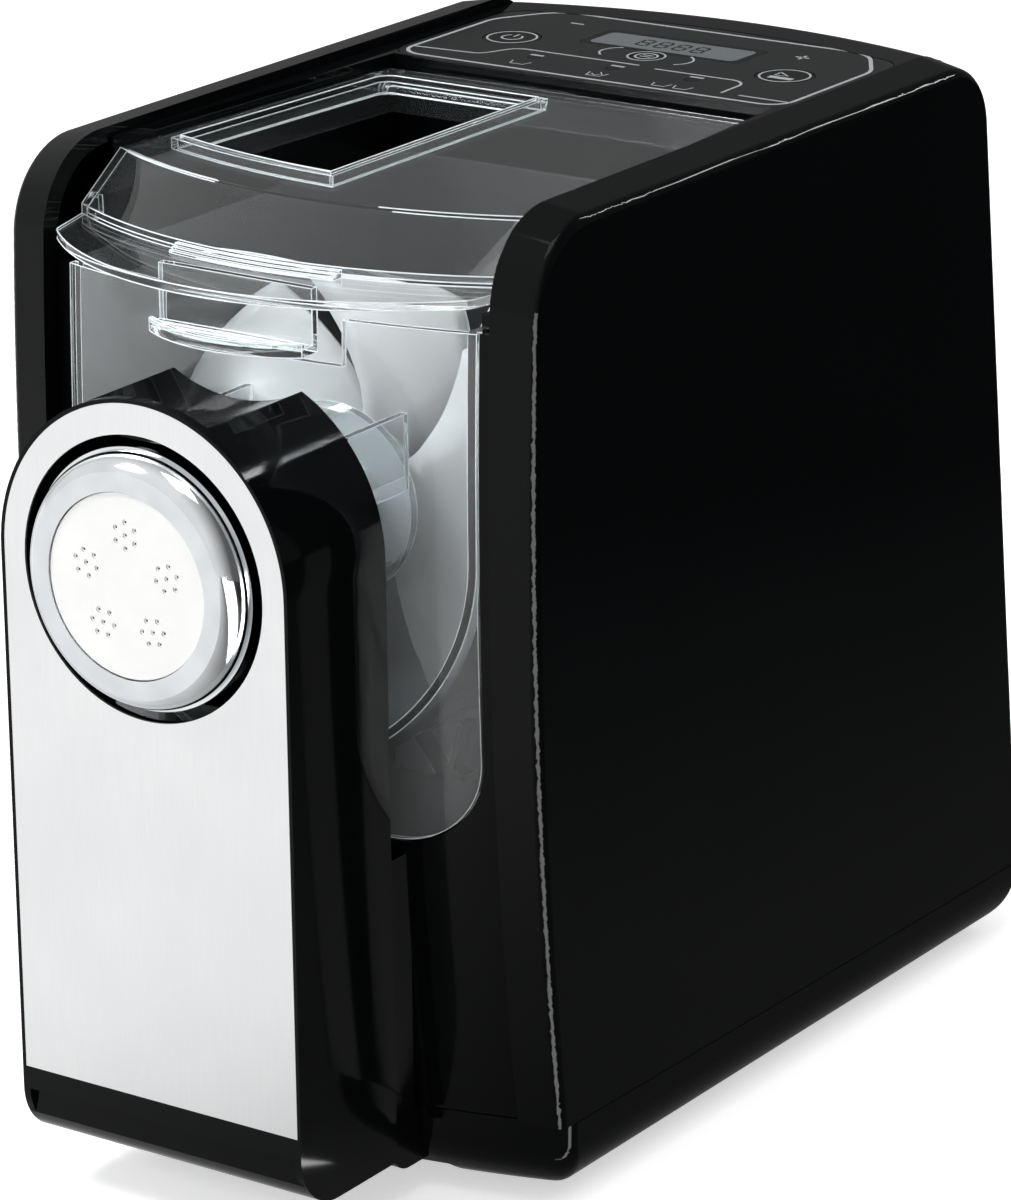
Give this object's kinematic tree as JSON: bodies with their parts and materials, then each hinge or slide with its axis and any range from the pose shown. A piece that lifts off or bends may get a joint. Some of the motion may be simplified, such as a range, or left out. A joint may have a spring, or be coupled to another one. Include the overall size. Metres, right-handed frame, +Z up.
{
  "type": "electric pasta maker",
  "caption": "Countertop machine that mixes dough in a clear chamber with a turning paddle and presses it by a screw through a die in its front.",
  "frame": {"origin": "on the floor below the middle of the whole machine, in the plane of the rubber feet's soles", "axes": "+X to the machine's right seen from the front, +Y from the lock nut to the back, +Z up; the front faces -Y"},
  "size_m": [0.194, 0.377, 0.3114],
  "materials": {
    "gloss_black": "polished black ABS",
    "matte_black": "moulded black plastic, fine grain",
    "clear": "clear polycarbonate, slightly grey",
    "white": "white food-grade acetal",
    "steel": "brushed stainless steel",
    "chrome": "polished chrome",
    "rubber": "soft black rubber",
    "board": "green circuit board with solder mask",
    "pale_gear": "natural nylon gear plastic",
    "dark_window": "dark tinted acrylic",
    "light": "milky light pipe",
    "motor_case": "grey painted motor can"
  },
  "bodies": {
    "housing": {"side_cover_left": "gloss_black", "side_cover_right": "gloss_black", "front_frame": "gloss_black", "base_tray": "gloss_black", "rubber_feet": "rubber", "rear_cover": "matte_black", "cord_gland": "rubber", "top_deck": "gloss_black", "control_overlay": "matte_black", "display_window": "dark_window", "key_switches": "matte_black", "indicator_lights": "light", "control_board": "board", "board_screws": "steel", "display_module": "dark_window", "lid_hinge_pins": "steel", "chamber_well": "matte_black", "shaft_seal": "rubber", "shaft_bearings": "steel", "gear_axles": "steel", "gearbox_housing": "matte_black", "gearbox_cover": "matte_black", "gearbox_screws": "steel", "motor": "motor_case", "motor_mount": "matte_black", "gearbox_stand": "matte_black", "base_screws": "steel", "power_board": "board", "lid_switch": "matte_black"},
    "lid": {"lid": "clear"},
    "bucket": {"bucket": "clear", "extrusion_barrel": "clear", "barrel_seal": "rubber", "die_disc": "white"},
    "nut": {"lock_nut": "chrome"},
    "paddle": {"mixing_paddle": "white", "extrusion_screw": "white"},
    "cover": {"front_cover": "gloss_black", "face_plate": "steel"},
    "drive": {"drive_shaft": "steel", "output_gear": "pale_gear"},
    "second": {"second_gear": "pale_gear"},
    "first": {"first_gear": "pale_gear"},
    "rotor": {"motor_shaft": "steel", "motor_pinion": "steel", "motor_fan": "matte_black"},
    "power": {"power_key": "matte_black"},
    "mode": {"mode_key": "matte_black"},
    "start": {"start_key": "matte_black"},
    "interlock": {"lid_switch_rod": "matte_black"}
  },
  "joints": [
    {"name": "lid_hinge", "type": "hinge", "parent": "housing", "child": "lid", "pos_m": [0, 0.041, 0.2988], "axis": [-1, 0, 0], "range_deg": [0, 80]},
    {"name": "bucket_slide", "type": "slide", "parent": "housing", "child": "bucket", "axis": [0, -1, 0], "range_m": [0, 0.16]},
    {"name": "cover_slide", "type": "slide", "parent": "bucket", "child": "cover", "axis": [0, -1, 0], "range_m": [0, 0.06]},
    {"name": "nut_turn", "type": "hinge", "parent": "bucket", "child": "nut", "pos_m": [0, -0.17, 0.2062], "axis": [0, 1, 0], "range_deg": [0, 45]},
    {"name": "paddle_spin", "type": "hinge", "parent": "bucket", "child": "paddle", "pos_m": [0, 0, 0.2062], "axis": [0, 1, 0], "continuous": true},
    {"name": "drive_spin", "type": "hinge", "parent": "housing", "child": "drive", "pos_m": [0, 0.07, 0.2062], "axis": [0, 1, 0], "continuous": true},
    {"name": "second_spin", "type": "hinge", "parent": "housing", "child": "second", "pos_m": [0, 0.07, 0.1612], "axis": [0, 1, 0], "continuous": true},
    {"name": "first_spin", "type": "hinge", "parent": "housing", "child": "first", "pos_m": [0, 0.08, 0.1237], "axis": [0, 1, 0], "continuous": true},
    {"name": "motor_spin", "type": "hinge", "parent": "housing", "child": "rotor", "pos_m": [0, 0.02, 0.0937], "axis": [0, 1, 0], "continuous": true},
    {"name": "power_press", "type": "slide", "parent": "housing", "child": "power", "axis": [0, 0, -1], "range_m": [0, 0.0005], "stiffness_N_per_m": 600},
    {"name": "mode_press", "type": "slide", "parent": "housing", "child": "mode", "axis": [0, 0, -1], "range_m": [0, 0.0005], "stiffness_N_per_m": 600},
    {"name": "start_press", "type": "slide", "parent": "housing", "child": "start", "axis": [0, 0, -1], "range_m": [0, 0.0005], "stiffness_N_per_m": 600},
    {"name": "interlock_press", "type": "slide", "parent": "housing", "child": "interlock", "axis": [0, 0, -1], "range_m": [0, 0.002], "stiffness_N_per_m": 150}
  ],
  "couplings": [
    {"joint": "drive_spin", "follows": "paddle_spin", "ratio": 1},
    {"joint": "second_spin", "follows": "paddle_spin", "ratio": -4},
    {"joint": "first_spin", "follows": "paddle_spin", "ratio": 16},
    {"joint": "motor_spin", "follows": "paddle_spin", "ratio": -64}
  ]
}
